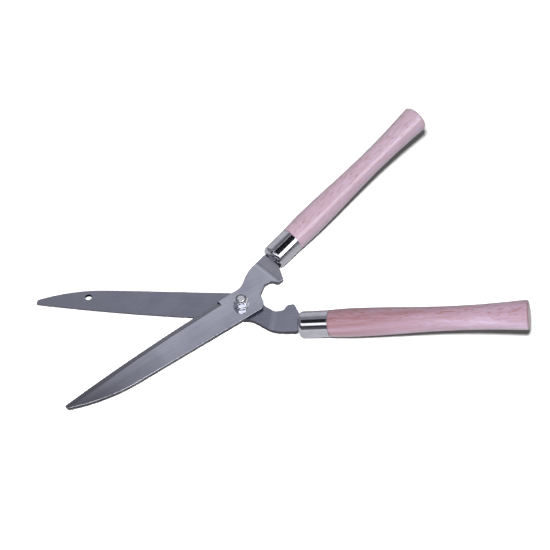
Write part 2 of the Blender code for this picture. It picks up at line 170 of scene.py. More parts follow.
away = Vector((math.sin(VIEW_TURN), math.cos(VIEW_TURN), 0.0))
view_x = Vector((math.cos(VIEW_TURN), -math.sin(VIEW_TURN), 0.0))
view_z = UP * math.sin(VIEW_ELEVATION) - away * math.cos(VIEW_ELEVATION)
view_y = view_z.cross(view_x)
camera_data = bpy.data.cameras.new("camera")
camera_data.sensor_width = SENSOR_WIDTH
camera_data.lens = SENSOR_WIDTH * VIEW_DISTANCE / PICTURE_SIDE
camera = bpy.data.objects.new("camera", camera_data)
scene.collection.objects.link(camera)
eye = PIVOT + view_x * VIEW_RIGHT + view_y * VIEW_RAISED + view_z * VIEW_DISTANCE
camera.matrix_world = Matrix.Translation(eye) @ Matrix((view_x, view_y, view_z)).transposed().to_4x4()
scene.camera = camera
scene.view_settings.view_transform = "Standard"
print("lens", round(camera_data.lens, 2), "mm, eye at", [round(c, 3) for c in eye])

# %% [markdown]
# ## The studio
#
# A steel tool shows mostly what stands round it, so the studio is half of the picture. The floor is a white
# sheet, and the sky is white for what looks straight at it, so the background is the same paper white in the
# picture and in the metal. The sky itself lights only a little. The sheet has a lamp of its own a few
# degrees above the camera, so its shadow shows as a thin dark line under each lower edge. That lamp is
# strong, so the paper is grey to everything but the camera and doesn't flood the shears. The lamp fades
# towards the far end of the sheet, where the paper gets a glow that only the camera sees.

# %% Floor and sky
FLOOR_HALF = 6.0
FLOOR_DROP = 0.2 * MM
SKY_LIGHT = 0.14
PAPER_LIGHT = 2.4
PAPER_BOUNCE = 0.7
PAPER_GLOW = 0.4
GLOW_FROM = 0.25
GLOW_TO = 0.55


def studio_point(turn, elevation, distance):
    """A point turned to the right of the camera, in degrees, and raised, as seen from the pivot."""
    flat = view_x * math.sin(math.radians(turn)) - away * math.cos(math.radians(turn))
    raised = flat * math.cos(math.radians(elevation)) + UP * math.sin(math.radians(elevation))
    return PIVOT + raised * distance


def stage_sheet(name, rows, material):
    """A sheet of faces between rows of points, kept out of the object."""
    mesh = bpy.data.meshes.new(name)
    width = len(rows[0])
    faces = []
    for row in range(len(rows) - 1):
        for column in range(width - 1):
            first = row * width + column
            faces.append((first, first + 1, first + width + 1, first + width))
    mesh.from_pydata([point for row in rows for point in row], [], faces)
    mesh.materials.append(material)
    made = bpy.data.objects.new(name, mesh)
    scene.collection.objects.link(made)
    return made


paper, paper_tree, paper_shader, paper_spot = new_finish("white paper sweep")
seen = add(paper_tree, "ShaderNodeLightPath").outputs["Is Camera Ray"]
dim = PAPER_BOUNCE / PAPER_LIGHT
shade = {0: seen, 6: (dim, dim, dim, 1.0), 7: linear("#CCCCCC")}
shade = add(paper_tree, "ShaderNodeMix", shade, data_type="RGBA")
far_end = add(paper_tree, "ShaderNodeVectorMath", {0: paper_spot, 1: away}, operation="DOT_PRODUCT")
glow = add(paper_tree, "ShaderNodeMapRange", {"Value": far_end.outputs["Value"], "From Min": GLOW_FROM,
                                              "From Max": GLOW_TO, "To Max": PAPER_GLOW})
glow = add(paper_tree, "ShaderNodeMath", {0: glow.outputs[0], 1: seen}, operation="MULTIPLY")
paper_tree.links.new(shade.outputs[2], paper_shader.inputs["Base Color"])
paper_tree.links.new(glow.outputs[0], paper_shader.inputs["Emission Strength"])
paper_shader.inputs["Emission Color"].default_value = linear("#FFFFFF")
paper_shader.inputs["Roughness"].default_value = 1.0
paper_shader.inputs["Specular IOR Level"].default_value = 0.0
floor_level = cad_low.z - FLOOR_DROP
floor_rows = [[(x, y, floor_level) for x in (-FLOOR_HALF, FLOOR_HALF)] for y in (-FLOOR_HALF, FLOOR_HALF)]
floor = stage_sheet("floor", floor_rows, paper)

scene.world = bpy.data.worlds.new("white sky")
scene.world.use_nodes = True
sky = scene.world.node_tree
sky.nodes.clear()
ray = add(sky, "ShaderNodeLightPath").outputs
looked_at = ray["Is Camera Ray"]
for kind in ("Is Glossy Ray", "Is Transmission Ray"):
    looked_at = add(sky, "ShaderNodeMath", {0: looked_at, 1: ray[kind]}, operation="ADD").outputs[0]
strength = add(sky, "ShaderNodeMapRange", {"Value": looked_at, "To Min": SKY_LIGHT, "To Max": 1.0})
background = add(sky, "ShaderNodeBackground", {"Color": linear("#FFFFFF"), "Strength": strength.outputs[0]})
add(sky, "ShaderNodeOutputWorld", {"Surface": background.outputs[0]})
print("floor at", round(floor_level / MM, 2), "mm, sky light", SKY_LIGHT)

# %% [markdown]
# Light linking tells a lamp what it may shine on. The paper lamp shines only on the sheet, and all other
# lamps leave the sheet out, so the shadow stays dark although the shears are lit softly from several sides.
# The power of these two is worked out from how bright a white sheet on the floor would look under each, so a
# lamp can be moved without setting it again.

# %% The paper lamp and the key lamp
FAR_LAMPS = {
    "paper lamp": {"turn": -1.0, "elevation": 55.0, "distance": 1.6, "size": 0.11, "light": PAPER_LIGHT,
                   "sheet": "INCLUDE"},
    "key lamp": {"turn": -12.0, "elevation": 52.0, "distance": 2.2, "size": 0.10, "light": 0.80,
                 "sheet": "EXCLUDE"},
}
SHINE_ON = {}
for state in ("INCLUDE", "EXCLUDE"):
    SHINE_ON[state] = bpy.data.collections.new("paper " + state.lower() + "d")
    SHINE_ON[state].objects.link(floor)
    SHINE_ON[state].collection_objects[0].light_linking.link_state = state


def hang_lamp(name, place, power, shape, sheet):
    """An area lamp that faces the pivot, with the sheet of paper included in its light or excluded."""
    light = bpy.data.lights.new(name, "AREA")
    light.shape = shape
    light.energy = power
    holder = bpy.data.objects.new(name, light)
    holder.location = place
    holder.rotation_euler = (PIVOT - holder.location).to_track_quat("-Z", "Y").to_euler()
    holder.light_linking.receiver_collection = SHINE_ON[sheet]
    scene.collection.objects.link(holder)
    print(name, round(power, 2), "W")
    return holder


for name, lamp in FAR_LAMPS.items():
    slant = math.sin(math.radians(lamp["elevation"]))
    power = lamp["light"] * (math.pi * lamp["distance"]) ** 2 / slant
    place = studio_point(lamp["turn"], lamp["elevation"], lamp["distance"])
    holder = hang_lamp(name, place, power, "DISK", lamp["sheet"])
    holder.data.size = lamp["size"]
    holder.visible_glossy = False

# %% [markdown]
# Two softboxes stand left and right of the camera and draw the white bands along the round ferrules. A
# third, behind the camera, brightens the front of the nut and its image in the blade. A softbox is an area
# lamp as large as its cloth. Its power is worked out from the brightness that its cloth should have, so that
# resizing a box changes the light on the shears but not how white its reflection is. The right one is bright
# enough to draw the pale line along the lacquer too, so it is kept out of the plain light on the wood.

# %% Softboxes
SOFTBOX_DISTANCE = 1.6
SOFTBOXES = {
    "left softbox": {"turn": -43.0, "elevation": 41.0, "width": 0.85, "height": 0.46, "brightness": 1.8},
    "right softbox": {"turn": 59.0, "elevation": 36.5, "width": 0.95, "height": 0.70, "brightness": 4.0},
    "camera softbox": {"turn": 4.0, "elevation": 50.0, "width": 0.90, "height": 0.70, "brightness": 2.0},
}
for name, box in SOFTBOXES.items():
    power = box["brightness"] * math.pi * box["width"] * box["height"]
    place = studio_point(box["turn"], box["elevation"], SOFTBOX_DISTANCE)
    holder = hang_lamp(name, place, power, "RECTANGLE", "EXCLUDE")
    holder.data.size = box["width"]
    holder.data.size_y = box["height"]
    holder.visible_camera = False
    holder.visible_diffuse = name != "right softbox"

# %% [markdown]
# Photographers stand cards round bright metal, because plain white all round would make it look like paper.
# The wall behind the camera is black, so the softboxes in front of it get crisp dark borders, and it goes on
# as a grey wall on the left, so the rounded fronts of the ferrules stand out against the paper. Two borders
# carry that side on upwards. The black is paler near the floor, as paper would light it, so the second dark
# line on each ferrule is less deep than the first. A black card overhead gives the upper ferrule its dark
# band, and a tall grey card behind gives the blades their calm grey. That card darkens upwards, so a face
# that is bent or leans shows its own shade. The cards show only in reflections.

# %% Cards
CEILING_HEIGHT = 2.0
CEILING_ACROSS = (-0.5, 0.9)
CEILING_NEARER = (-0.3, 0.6)
BACK_DISTANCE = 1.0
BACK_ACROSS = (-0.9, 0.9)
BACK_HEIGHTS = (0.0, 6.0)
WALL_DISTANCE = 1.75
WALL_STEPS = 24
WALLS = {
    "front wall": {"turns": (-78.0, 95.0), "heights": (0.0, 3.6), "finish": "black card"},
    "left wall": {"turns": (-140.0, -78.0), "heights": (0.0, 2.2), "finish": "dim card"},
    "left border": {"turns": (-142.0, -100.0), "heights": (2.2, 4.6), "finish": "dim card"},
    "front border": {"turns": (-100.0, -78.0), "heights": (2.2, 4.6), "finish": "black card"},
}
CARD_TONES = {
    "black card": {"low": "#76767E", "high": "#26262A", "bottom": 0.1, "top": 1.0},
    "dim card": {"low": "#8C8C94", "high": "#9A9AA2", "bottom": 0.0, "top": 2.0},
    "grey card": {"low": "#DCDCE0", "high": "#77777E", "bottom": 0.9, "top": 2.2},
}


def card_finish(name, low, high, bottom, top):
    """An even glow that changes from one grey to another between two heights."""
    material, tree, shader, where = new_finish(name)
    height = add(tree, "ShaderNodeSeparateXYZ", {0: where}).outputs["Z"]
    share = add(tree, "ShaderNodeMapRange", {"Value": height, "From Min": bottom, "From Max": top}).outputs[0]
    tone = add(tree, "ShaderNodeMix", {0: share, 6: linear(low), 7: linear(high)}, data_type="RGBA")
    glow = add(tree, "ShaderNodeEmission", {"Color": tone.outputs[2]})
    tree.links.new(glow.outputs[0], tree.nodes["Material Output"].inputs["Surface"])
    tree.nodes.remove(shader)
    return material


def reflected_only(card):
    """Hides a card from everything but reflections."""
    card.visible_camera = False
    card.visible_diffuse = False
    card.visible_shadow = False
    card.visible_transmission = False


def curved_wall(turns, heights):
    """Rows of points for an upright wall round the pivot between two turns to the right of the camera."""
    first, last = turns
    stops = [first + (last - first) * step / WALL_STEPS for step in range(WALL_STEPS + 1)]
    return [[studio_point(stop, 0.0, WALL_DISTANCE) + UP * height for stop in stops] for height in heights]


CARD_FINISHES = {name: card_finish(name, **tones) for name, tones in CARD_TONES.items()}
above = PIVOT + UP * CEILING_HEIGHT
ceiling = [[above + view_x * x - away * y for x in CEILING_ACROSS] for y in CEILING_NEARER]
behind = PIVOT + away * BACK_DISTANCE
back = [[behind + view_x * x + UP * height for x in BACK_ACROSS] for height in BACK_HEIGHTS]
standing = [("ceiling card", ceiling, "black card")]
for name, wall in WALLS.items():
    standing.append((name, curved_wall(wall["turns"], wall["heights"]), wall["finish"]))
standing.append(("back card", back, "grey card"))
for name, points, finish in standing:
    reflected_only(stage_sheet(name, points, CARD_FINISHES[finish]))
print(len(standing), "cards stand round the shears")

# %% [markdown]
# ## Lacquered beech
#
# Beech is pale pink-brown wood. Its fibres run with the stick as streaks about a millimetre wide, its rays show as
# short brown dashes a few millimetres long, and one side of a stick is often redder, because it was nearer to the
# heartwood of the tree. Here that redder side is laid on the side of each stick that faces up and away from the
# camera, where less light falls, and it is drawn darker there, so it is partly heartwood and partly painted shade.
# The rays are stronger on that side. The last millimetres of each butt are drawn dark, partly as end grain and
# partly as painted shade on the rounded end. Both sticks also get redder towards the ferrule, the lower one more.
# Clear lacquer makes the wood shine as if a thin sheet of glass lay over the grain. The patterns could be painted
# on the skin, but here they are solid: they are laid out in the handle's own lathe frame and stretched along it,
# so they wrap round the turned shape as they do in wood cut from a board.

# %% Beech
# Sizes of the grain in millimetres, two across the stick and one along it
BEECH_GRAIN = {
    "fibre": (1.0, 1.0, 30.0),
    "fleck": (1.1, 1.1, 8.0),
    "mottle": (1.9, 1.9, 6.0),
    "board": (8.0, 8.0, 90.0),
    "stick": (1.0, 1.0, 1.0),
}
# Depth of the dark end of the butt: end grain, and painted shade on the rounded end
END_GRAIN_AND_SHADE_DEPTH = 2.0
# Side of the stick that is drawn redder: heartwood, and painted shade on the side facing up and away from the
# camera
HEART_AND_SHADE_SIDE = (-0.66, 0.75, 0.0)
HEART_AND_SHADE_EDGE = 12.0
RAYS_FROM = -6.0
RAYS_TO = 7.2
FRONT_FROM = 0.2
FRONT_TO = 0.75


def lacquered_beech(side, colours, front, seed):
    """Beech under clear lacquer: fibres, ray flecks, a redder front, a redder side that is heartwood and painted
    shade, and a dark end that is end grain and painted shade.
    """
    material, tree, shader, where = new_finish("lacquered_beech_" + side)
    place = PLACES[side]
    grain = {}
    for pattern, size in BEECH_GRAIN.items():
        laid = {"Vector": where, "Location": place.translation, "Rotation": place.to_euler(),
                "Scale": Vector(size) * MM}
        grain[pattern] = add(tree, "ShaderNodeMapping", laid, vector_type="TEXTURE").outputs[0]
    noise = {}
    for pattern, detail in (("fibre", 3.0), ("fleck", 2.0), ("mottle", 3.0), ("board", 1.0)):
        drawn = {"Vector": grain[pattern], "W": seed, "Scale": 1.0, "Detail": detail, "Distortion": 0.3}
        noise[pattern] = add(tree, "ShaderNodeTexNoise", drawn, noise_dimensions="4D").outputs[0]
    toward_heart_and_shade = {0: grain["stick"], 1: HEART_AND_SHADE_SIDE}
    toward_heart_and_shade = add(tree, "ShaderNodeVectorMath", toward_heart_and_shade, operation="DOT_PRODUCT").outputs["Value"]
    along = add(tree, "ShaderNodeSeparateXYZ", {0: grain["stick"]}).outputs["Z"]
    butt = max((place.inverted() @ point).z for point in points_of(side + "_handle")) / MM
    shares = {}
    for name, source, low, high, start, end in (
            # The redder side is partly painted shade
            ("heartwood_and_shade", toward_heart_and_shade, -HEART_AND_SHADE_EDGE, HEART_AND_SHADE_EDGE, 0.0, 0.45),
            ("rays", toward_heart_and_shade, RAYS_FROM, RAYS_TO, 0.15, 1.0),
            ("front", along, FRONT_FROM * butt, FRONT_TO * butt, front, 0.0),
            ("board", noise["board"], 0.38, 0.62, 0.0, 0.35),
            ("mottle", noise["mottle"], 0.40, 0.60, 0.0, 1.0),
            ("fibre", noise["fibre"], 0.46, 0.66, 0.0, 0.7),
            ("fleck", noise["fleck"], 0.55, 0.66, 0.0, 1.0),
            # The dark end of the butt is partly painted shade
            ("end", along, butt - END_GRAIN_AND_SHADE_DEPTH, butt, 0.0, 0.7)):
        ramp = {"Value": source, "From Min": low, "From Max": high, "To Min": start, "To Max": end}
        shares[name] = add(tree, "ShaderNodeMapRange", ramp).outputs[0]
    red = add(tree, "ShaderNodeMath", {0: shares["heartwood_and_shade"], 1: shares["front"]}, operation="ADD").outputs[0]
    red = {0: red, 1: shares["board"]}
    red = add(tree, "ShaderNodeMath", red, operation="ADD", use_clamp=True).outputs[0]
    dash = {0: shares["fleck"], 1: shares["rays"]}
    dash = add(tree, "ShaderNodeMath", dash, operation="MULTIPLY").outputs[0]
    colour = linear(colours["pale"])
    for share, tone in ((shares["mottle"], "tan"), (red, "red"), (shares["fibre"], "fibre"),
                        (dash, "dash"), (shares["end"], "dash")):
        mixed = {0: share, 6: colour, 7: linear(colours[tone])}
        colour = add(tree, "ShaderNodeMix", mixed, data_type="RGBA").outputs[2]
    gloss = add(tree, "ShaderNodeMapRange", {"Value": noise["fibre"], "To Min": 0.38, "To Max": 0.55})
    relief = add(tree, "ShaderNodeBump", {"Height": noise["fibre"], "Strength": 0.10, "Distance": 0.04 * MM})
    tree.links.new(colour, shader.inputs["Base Color"])
    tree.links.new(gloss.outputs[0], shader.inputs["Roughness"])
    tree.links.new(relief.outputs[0], shader.inputs["Normal"])
    shader.inputs["IOR"].default_value = 1.5
    shader.inputs["Specular IOR Level"].default_value = 0.25
    shader.inputs["Coat Weight"].default_value = 0.7
    shader.inputs["Coat Roughness"].default_value = 0.05
    return material


BEECH_TONES = {
    "upper": {"pale": "#C8B9D6", "tan": "#C6AEB8", "red": "#BE9FAF", "fibre": "#B59AA8", "dash": "#A27F7E"},
    "lower": {"pale": "#CABAD8", "tan": "#C5AFC2", "red": "#936E78", "fibre": "#A88797", "dash": "#8C5E58"},
}
BEECH = {
    "upper": lacquered_beech("upper", BEECH_TONES["upper"], front=0.2, seed=3.0),
    "lower": lacquered_beech("lower", BEECH_TONES["lower"], front=0.55, seed=11.0),
}
print("beech on", ", ".join(BEECH))

# %% [markdown]
# ## Ground steel
#
# The halves are stamped from hardened steel sheet and ground on a belt, so each face carries faint lines along the
# blade. The lower one reflects softly, like satin. The upper one is polished after grinding, so it mirrors the nut
# that stands on it, and the white patch in front of the nut is the nut's own facet seen in the blade. The cutting
# bevel is ground on a wheel, across the edge, which leaves it darker and rougher, and sap stains the steel towards
# the tip. The plate's narrow sides were sheared by the press and never ground, so they are dull, and they are
# drawn darker still as a painted shadow along the lower edges. The bend of each arm is drawn paler than the flat,
# a painted highlight. Beyond the bend the upper arm is a brighter copy of the steel, painted light on its leaning
# face, and the arm stays free of stain. The corners are worn, and along the spine of the upper blade they are
# drawn brightest towards the tip, a painted glint. Real grinding lines are about a tenth of a millimetre wide.
# They are drawn coarser here, because a pixel covers a millimetre.

# %% Steel
# Sizes in millimetres, and places along the blade from the pivot
GRIND_LENGTH = 34.0
GRIND_WIDTH = 0.8
HAZE_SIZE = 26.0
TIP_TONE_FROM = -95.0
TIP_TONE_TO = -195.0


def ground_steel(name, side, tone, shade, tip_tone, smooth, rough, across):
    """Ground steel: fine lines along the blade, or across it, a slow haze, and another tone at the tip, which is
    stain on the faces and a painted glint on the upper blade's corners.
    """
    material, tree, shader, where = new_finish(name)
    laid = {"Vector": where, "Location": PIVOT, "Rotation": (0.0, 0.0, BLADE_TURNS[side] + across),
            "Scale": Vector((GRIND_LENGTH, GRIND_WIDTH, GRIND_LENGTH)) * MM}
    grain = add(tree, "ShaderNodeMapping", laid, vector_type="TEXTURE").outputs[0]
    blade = {"Vector": where, "Location": PIVOT, "Rotation": (0.0, 0.0, BLADE_TURNS[side]),
             "Scale": Vector((1.0, 1.0, 1.0)) * MM}
    blade = add(tree, "ShaderNodeMapping", blade, vector_type="TEXTURE").outputs[0]
    along = add(tree, "ShaderNodeSeparateXYZ", {0: blade}).outputs["X"]
    lines = add(tree, "ShaderNodeTexNoise", {"Vector": grain, "Scale": 1.0, "Detail": 3.0}).outputs[0]
    haze = add(tree, "ShaderNodeTexNoise", {"Vector": where, "Scale": 1.0 / (HAZE_SIZE * MM), "Detail": 2.0})
    mottle = add(tree, "ShaderNodeMath", {0: lines, 1: haze.outputs[0]}, operation="ADD").outputs[0]
    share = add(tree, "ShaderNodeMapRange", {"Value": mottle, "From Min": 0.75, "From Max": 1.25}).outputs[0]
    colour = add(tree, "ShaderNodeMix", {0: share, 6: linear(tone), 7: linear(shade)}, data_type="RGBA")
    tipward = {"Value": along, "From Min": TIP_TONE_FROM, "From Max": TIP_TONE_TO}
    tipward = add(tree, "ShaderNodeMapRange", tipward).outputs[0]
    colour = {0: tipward, 6: colour.outputs[2], 7: linear(tip_tone)}
    colour = add(tree, "ShaderNodeMix", colour, data_type="RGBA")
    gloss = add(tree, "ShaderNodeMapRange", {"Value": lines, "From Min": 0.3, "From Max": 0.7,
                                             "To Min": smooth, "To Max": rough})
    relief = add(tree, "ShaderNodeBump", {"Height": lines, "Strength": 0.06, "Distance": 0.02 * MM})
    tree.links.new(colour.outputs[2], shader.inputs["Base Color"])
    tree.links.new(gloss.outputs[0], shader.inputs["Roughness"])
    tree.links.new(relief.outputs[0], shader.inputs["Normal"])
    shader.inputs["Metallic"].default_value = 1.0
    return material


ALONG, ACROSS = 0.0, math.pi / 2
# Way of the lines, then for each half its tone, shade, tone at the tip, and least and greatest roughness
STEEL_FINISHES = {
    "belt_ground_steel": {"lines": ALONG, "upper": ("#C6C7D6", "#B2B3C2", "#74747F", 0.06, 0.11),
                          "lower": ("#999BAA", "#8D8F9F", "#8E8F9D", 0.20, 0.30)},
    "wheel_ground_bevel": {"lines": ACROSS, "upper": ("#84848F", "#76767F", "#5E5E67", 0.28, 0.38),
                           "lower": ("#8A8B97", "#7B7C86", "#7A7B86", 0.28, 0.38)},
    # The bend is drawn paler than the flat: a painted highlight
    "bend_painted_highlight": {"lines": ALONG, "upper": ("#DADBE8", "#CCCDDA", "#CCCDDA", 0.14, 0.20),
                             "lower": ("#A6A8B8", "#9A9CAC", "#9A9CAC", 0.20, 0.30)},
    # The sides are drawn dark: dull sheared steel, and painted shadow along the lower edges
    "sheared_side_and_painted_shadow": {"lines": ACROSS, "upper": ("#6A6A72", "#56565E", "#4E4E56", 0.40, 0.55),
                          "lower": ("#5C5C64", "#4A4A52", "#4C4C54", 0.40, 0.55)},
    # The upper arm is a brighter copy of the steel: painted light on its leaning face
    "cranked_arm_and_painted_light": {"lines": ALONG, "upper": ("#EAEBF5", "#DCDDE8", "#DCDDE8", 0.17, 0.24),
                        "lower": ("#9B9DAC", "#8F91A1", "#8F91A1", 0.20, 0.30)},
    # On the upper blade the corners brighten towards the tip: a painted glint
    "worn_edge_and_painted_upper_glint": {"lines": ALONG, "upper": ("#9C9DA8", "#8E8F9A", "#E4E5EE", 0.16, 0.26),
                         "lower": ("#8F909C", "#83848F", "#85868F", 0.16, 0.26)},
}
STEEL = {}
for side in SIDES:
    STEEL[side] = [ground_steel(finish + "_" + side, side, *looks[side], across=looks["lines"])
                   for finish, looks in STEEL_FINISHES.items()]
print("steel:", [material.name for side in SIDES for material in STEEL[side]])

# %% [markdown]
# ## Plated metal and nylon
#
# The ferrules are chromed: a mirror with the faintest bloom of fingerprints. The bolt, nut and washer are
# bright zinc over steel, less sharp, with a fine crystalline speckle. The ring inside the nut is grey nylon,
# moulded and dull, and its job is to grip the thread.

# %% Chrome, zinc and nylon
def plated(name, tone, bloom, speckle, smooth, rough, metallic=1.0):
    """A smooth surface whose colour and gloss drift over patches of one real size in millimetres."""
    material, tree, shader, where = new_finish(name)
    drift = {"Vector": where, "Scale": 1.0 / (speckle * MM), "Detail": 4.0}
    drift = add(tree, "ShaderNodeTexNoise", drift).outputs[0]
    share = add(tree, "ShaderNodeMapRange", {"Value": drift, "From Min": 0.35, "From Max": 0.65}).outputs[0]
    colour = add(tree, "ShaderNodeMix", {0: share, 6: linear(tone), 7: linear(bloom)}, data_type="RGBA")
    gloss = add(tree, "ShaderNodeMapRange", {"Value": share, "To Min": smooth, "To Max": rough})
    relief = add(tree, "ShaderNodeBump", {"Height": drift, "Strength": 0.03, "Distance": 0.01 * MM})
    tree.links.new(colour.outputs[2], shader.inputs["Base Color"])
    tree.links.new(gloss.outputs[0], shader.inputs["Roughness"])
    tree.links.new(relief.outputs[0], shader.inputs["Normal"])
    shader.inputs["Metallic"].default_value = metallic
    return material


CHROME = plated("polished_chrome_plate", "#C6C6CE", "#BEBEC8", 6.0, 0.07, 0.12)
ZINC = plated("bright_zinc_plate", "#F0F1F6", "#DEDFE6", 0.9, 0.07, 0.13)
NYLON = plated("moulded_grey_nylon", "#70707A", "#5E5E68", 0.6, 0.40, 0.55, metallic=0.0)
print("plated:", CHROME.name, ZINC.name, NYLON.name)

# %% [markdown]
# ## Handing a piece to its half
#
# A piece is built with live modifiers, because they can still be changed. When it is right, its evaluated
# shape becomes a plain mesh that sits at the origin, and the piece is given to the half it moves with. It
# stands in for its solid, which keeps its job in the collision model.

# %% Settling a piece
def settle(rough, name, body, node):
    """Freezes an object's modifiers into a mesh that rides on its half in place of a solid."""
    scene.collection.objects.link(rough)
    evaluated = rough.evaluated_get(bpy.context.evaluated_depsgraph_get())
    mesh = bpy.data.meshes.new_from_object(evaluated)
    mesh.transform(rough.matrix_world)
    mesh.name = name
    bpy.data.objects.remove(rough)
    piece = bpy.data.objects.new(name, mesh)
    scene.collection.objects.link(piece)
    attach(piece, body)
    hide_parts(node)
    print(name, "has", len(mesh.polygons), "faces")


# %% [markdown]
# ## The lathe
#
# Handles and ferrules are turned, so one Geometry Nodes tree turns them all. It takes a profile, a chain of
# points given as radius and height, and makes a grid with one row for each point and one column for each
# step round the axis. Every grid point looks up its profile point by its row and swings it round by its
# column. The seam, the points on the axis and the two ends of a loop then merge, which closes the shape.

# %% A lathe in nodes
MERGE = 0.001 * MM
lathe = bpy.data.node_groups.new("lathe", "GeometryNodeTree")
for label, kind in (("Profile", "NodeSocketGeometry"), ("Steps Round", "NodeSocketInt"),
                    ("Finish", "NodeSocketMaterial")):
    lathe.interface.new_socket(label, in_out="INPUT", socket_type=kind)
lathe.interface.new_socket("Turned", in_out="OUTPUT", socket_type="NodeSocketGeometry")
LATHE_INPUTS = {item.name: item.identifier for item in lathe.interface.items_tree if item.in_out == "INPUT"}

given = add(lathe, "NodeGroupInput").outputs
rows = add(lathe, "GeometryNodeAttributeDomainSize", {"Geometry": given["Profile"]}).outputs["Point Count"]
columns = add(lathe, "ShaderNodeMath", {0: given["Steps Round"], 1: 1.0}, operation="ADD").outputs[0]
grid = add(lathe, "GeometryNodeMeshGrid", {"Vertices X": columns, "Vertices Y": rows}).outputs["Mesh"]
index = add(lathe, "GeometryNodeInputIndex").outputs[0]
row = add(lathe, "ShaderNodeMath", {0: index, 1: rows}, operation="MODULO").outputs[0]
column = add(lathe, "ShaderNodeMath", {0: index, 1: rows}, operation="DIVIDE").outputs[0]
column = add(lathe, "ShaderNodeMath", {0: column}, operation="FLOOR").outputs[0]
profile_point = add(lathe, "GeometryNodeInputPosition").outputs[0]
picked = add(lathe, "GeometryNodeSampleIndex", data_type="FLOAT_VECTOR")
for socket, source in (("Geometry", given["Profile"]), ("Value", profile_point), ("Index", row)):
    lathe.links.new(source, picked.inputs[socket])
picked = add(lathe, "ShaderNodeSeparateXYZ", {0: picked.outputs[0]}).outputs
turn = add(lathe, "ShaderNodeMath", {0: column, 1: given["Steps Round"]}, operation="DIVIDE").outputs[0]
turn = add(lathe, "ShaderNodeMath", {0: turn, 1: 2.0 * math.pi}, operation="MULTIPLY").outputs[0]
swung = []
for direction in ("COSINE", "SINE"):
    part = add(lathe, "ShaderNodeMath", {0: turn}, operation=direction).outputs[0]
    swung.append(add(lathe, "ShaderNodeMath", {0: part, 1: picked["X"]}, operation="MULTIPLY").outputs[0])
spot = add(lathe, "ShaderNodeCombineXYZ", {"X": swung[0], "Y": swung[1], "Z": picked["Z"]}).outputs[0]
shape = add(lathe, "GeometryNodeSetPosition", {"Geometry": grid, "Position": spot}).outputs[0]
shape = add(lathe, "GeometryNodeMergeByDistance", {"Geometry": shape, "Distance": MERGE}).outputs[0]
shape = add(lathe, "GeometryNodeRealizeInstances", {"Geometry": shape}).outputs[0]
shape = add(lathe, "GeometryNodeSetMaterial", {"Geometry": shape, "Material": given["Finish"]}).outputs[0]
add(lathe, "NodeGroupOutput", {"Turned": shape})
print("lathe takes", ", ".join(LATHE_INPUTS))

# %% [markdown]
# A profile is a chain that starts and ends on the axis, or a loop that ends where it starts. The next
# functions turn it, point every face outwards, and mark the crisp corners. Another one finds the rings of a
# turned solid, from which the profiles take their sizes.

# %% Turning a profile
STEPS_ROUND = 144
CRISP = math.radians(32.0)
# Lengths closer than this count as the same, and the heights of rings are rounded to it
SAME = 0.01 * MM
RING_DIGITS = 5


def tidy_faces(mesh):
    """Points every face outwards, shades the mesh smooth and keeps its crisp corners."""
    shape = bmesh.new()
    shape.from_mesh(mesh)
    bmesh.ops.recalc_face_normals(shape, faces=shape.faces)
    shape.to_mesh(mesh)
    shape.free()
    mesh.shade_smooth()
    mesh.set_sharp_from_angle(angle=CRISP)


def turned(name, profile, place, material):
    """An object turned on the lathe from points of (radius, height) and laid in its place."""
    chain = bpy.data.meshes.new(name + "_profile")
    links = [(first, first + 1) for first in range(len(profile) - 1)]
    chain.from_pydata([(radius, 0.0, height) for radius, height in profile], links, [])
    blank = bpy.data.objects.new(name + "_blank", chain)
    step = blank.modifiers.new("lathe", "NODES")
    step.node_group = lathe
    step[LATHE_INPUTS["Steps Round"]] = STEPS_ROUND
    step[LATHE_INPUTS["Finish"]] = material
    scene.collection.objects.link(blank)
    mesh = bpy.data.meshes.new_from_object(blank.evaluated_get(bpy.context.evaluated_depsgraph_get()))
    bpy.data.objects.remove(blank)
    mesh.transform(place)
    tidy_faces(mesh)
    return bpy.data.objects.new(name + "_rough", mesh)


def arc(centre_radius, centre_height, size, start, end, steps=12):
    """Points of (radius, height) on a round edge, between two angles in degrees."""
    points = []
    for step in range(steps + 1):
        angle = math.radians(start + (end - start) * step / steps)
        points.append((centre_radius + size * math.cos(angle), centre_height + size * math.sin(angle)))
    return points


def rings_of(node, side):
    """The rings of a turned solid in its lathe's frame: rounded heights, each with the radii found there."""
    rings = {}
    for point in points_of(node):
        spot = PLACES[side].inverted() @ point
        rings.setdefault(round(spot.z, RING_DIGITS), []).append(math.hypot(spot.x, spot.y))
    return sorted(rings.items())


print("a turned piece has", STEPS_ROUND, "steps round")

# %% [markdown]
# ## Handles
#
# A hedge shear handle is turned from one stick: a belly behind the ferrule for the thumb, a slim waist, and
# a flare at the butt that keeps the hand from sliding off. The solid has the right places and radii but few
# rings. Its belly, waist and butt are measured, and the same easy curves are drawn between them with many
# more rings. A rounder butt bulges past the flats of the solid, so it is drawn a hair slimmer and stays
# inside the same box.

# %% Handle outline
RINGS_PER_STRETCH = 28
ROUND_ALLOWANCE = 0.08 * MM


def eased(start, end, share):
    """A value on the way from start to end, level at both."""
    return start + (end - start) * (0.5 - 0.5 * math.cos(math.pi * share))


